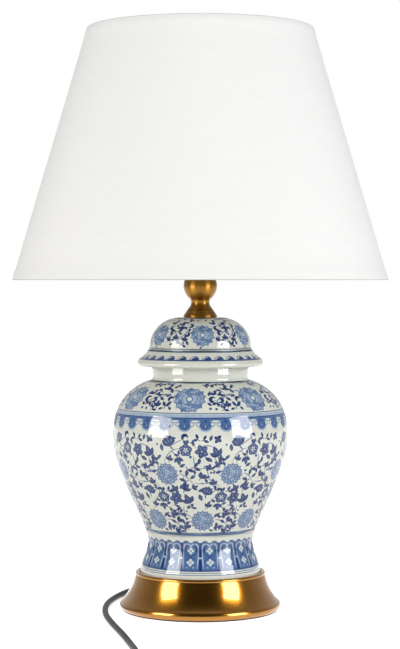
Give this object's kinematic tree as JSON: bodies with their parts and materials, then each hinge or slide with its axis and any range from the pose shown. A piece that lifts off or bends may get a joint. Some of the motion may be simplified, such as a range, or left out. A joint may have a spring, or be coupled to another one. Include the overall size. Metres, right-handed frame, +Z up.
{
  "type": "table lamp",
  "caption": "Ginger jar table lamp: blue and white ceramic jar with lid on a brass pedestal, brass neck, white cone shade, black cord with switch and plug.",
  "frame": {"origin": "on the table under the middle of the base", "axes": "+Z up, +Y to the back where the cord leaves, -Y to the front"},
  "size_m": [0.388, 0.6174, 0.6],
  "materials": {
    "felt": "felted wool",
    "zinc_steel": "zinc plated",
    "satin_brass": "satin, spun and turned",
    "iron": "as cast, painted black",
    "glaze": "clear glaze over blue painting",
    "gasket": "moulded",
    "holder_plastic": "moulded",
    "steatite": "unglazed",
    "contact_brass": "stamped",
    "frame_steel": "white powder coat",
    "shade_fabric": "white linen laminated on a liner",
    "bulb_diffuser": "milky",
    "bulb_housing": "moulded",
    "bulb_metal": "rolled",
    "bulb_glass": "black vitrite",
    "cord_sheath": "extruded, black",
    "core_copper": "stranded copper",
    "tie_fabric": "woven strap",
    "switch_plastic": "moulded, black",
    "plug_plastic": "moulded, black",
    "pin_nickel": "nickel plated brass"
  },
  "bodies": {
    "lamp": {"felt_pad": "felt", "bottom_cover": "zinc_steel", "pedestal": "satin_brass", "base_weight": "iron", "tube_washer": "zinc_steel", "tube_lock_washer": "zinc_steel", "tube_nut": "zinc_steel", "tube": "zinc_steel", "foot_gasket": "gasket", "jar": "glaze", "lid_gasket": "gasket", "lid": "glaze", "neck_collar": "satin_brass", "neck_spool": "satin_brass", "neck_ball": "satin_brass", "holder_cap": "holder_plastic", "holder_insulator": "steatite", "holder_skirt": "holder_plastic", "holder_contacts": "contact_brass", "terminal_screws": "contact_brass", "shade_nut_lower": "holder_plastic", "shade_nut_upper": "holder_plastic", "cord_gland": "cord_sheath", "gland_nut": "holder_plastic", "inner_lead": "cord_sheath", "lead_cores": "core_copper", "cord_run": "cord_sheath", "cord_link": "cord_sheath", "cord_coil": "cord_sheath", "cord_tail": "cord_sheath", "coil_tie": "tie_fabric", "switch_base": "switch_plastic", "switch_cover": "switch_plastic", "switch_axle": "zinc_steel", "switch_screws": "zinc_steel", "switch_contacts": "contact_brass", "plug_body": "plug_plastic", "plug_pins": "pin_nickel", "plug_sleeves": "plug_plastic"},
    "shade": {"shade_frame": "frame_steel", "shade_top_hoop": "frame_steel", "shade_cover": "shade_fabric"},
    "bulb_foot": {"bulb_contact": "contact_brass"},
    "bulb": {"bulb_insulator": "bulb_glass", "bulb_cap": "bulb_metal", "bulb_housing": "bulb_housing", "bulb_diffuser": "bulb_diffuser"},
    "rocker": {"switch_rocker": "switch_plastic"}
  },
  "joints": [
    {"name": "switch_rock", "type": "hinge", "parent": "lamp", "child": "rocker", "pos_m": [-0.04346, -0.34556, 0.012], "axis": [0.9848, 0.1736, 0], "range_deg": [0, 18]},
    {"name": "shade_turn", "type": "hinge", "parent": "lamp", "child": "shade", "pos_m": [0, 0, 0.3793], "axis": [0, 0, 1], "continuous": true},
    {"name": "bulb_rise", "type": "slide", "parent": "lamp", "child": "bulb_foot", "axis": [0, 0, 1], "range_m": [0, 0.0109]},
    {"name": "bulb_turn", "type": "hinge", "parent": "bulb_foot", "child": "bulb", "pos_m": [0, 0, 0.392], "axis": [0, 0, 1], "range_deg": [0, 1080]}
  ],
  "couplings": [
    {"joint": "bulb_rise", "follows": "bulb_turn", "m_per_rad": 0.00057757}
  ]
}
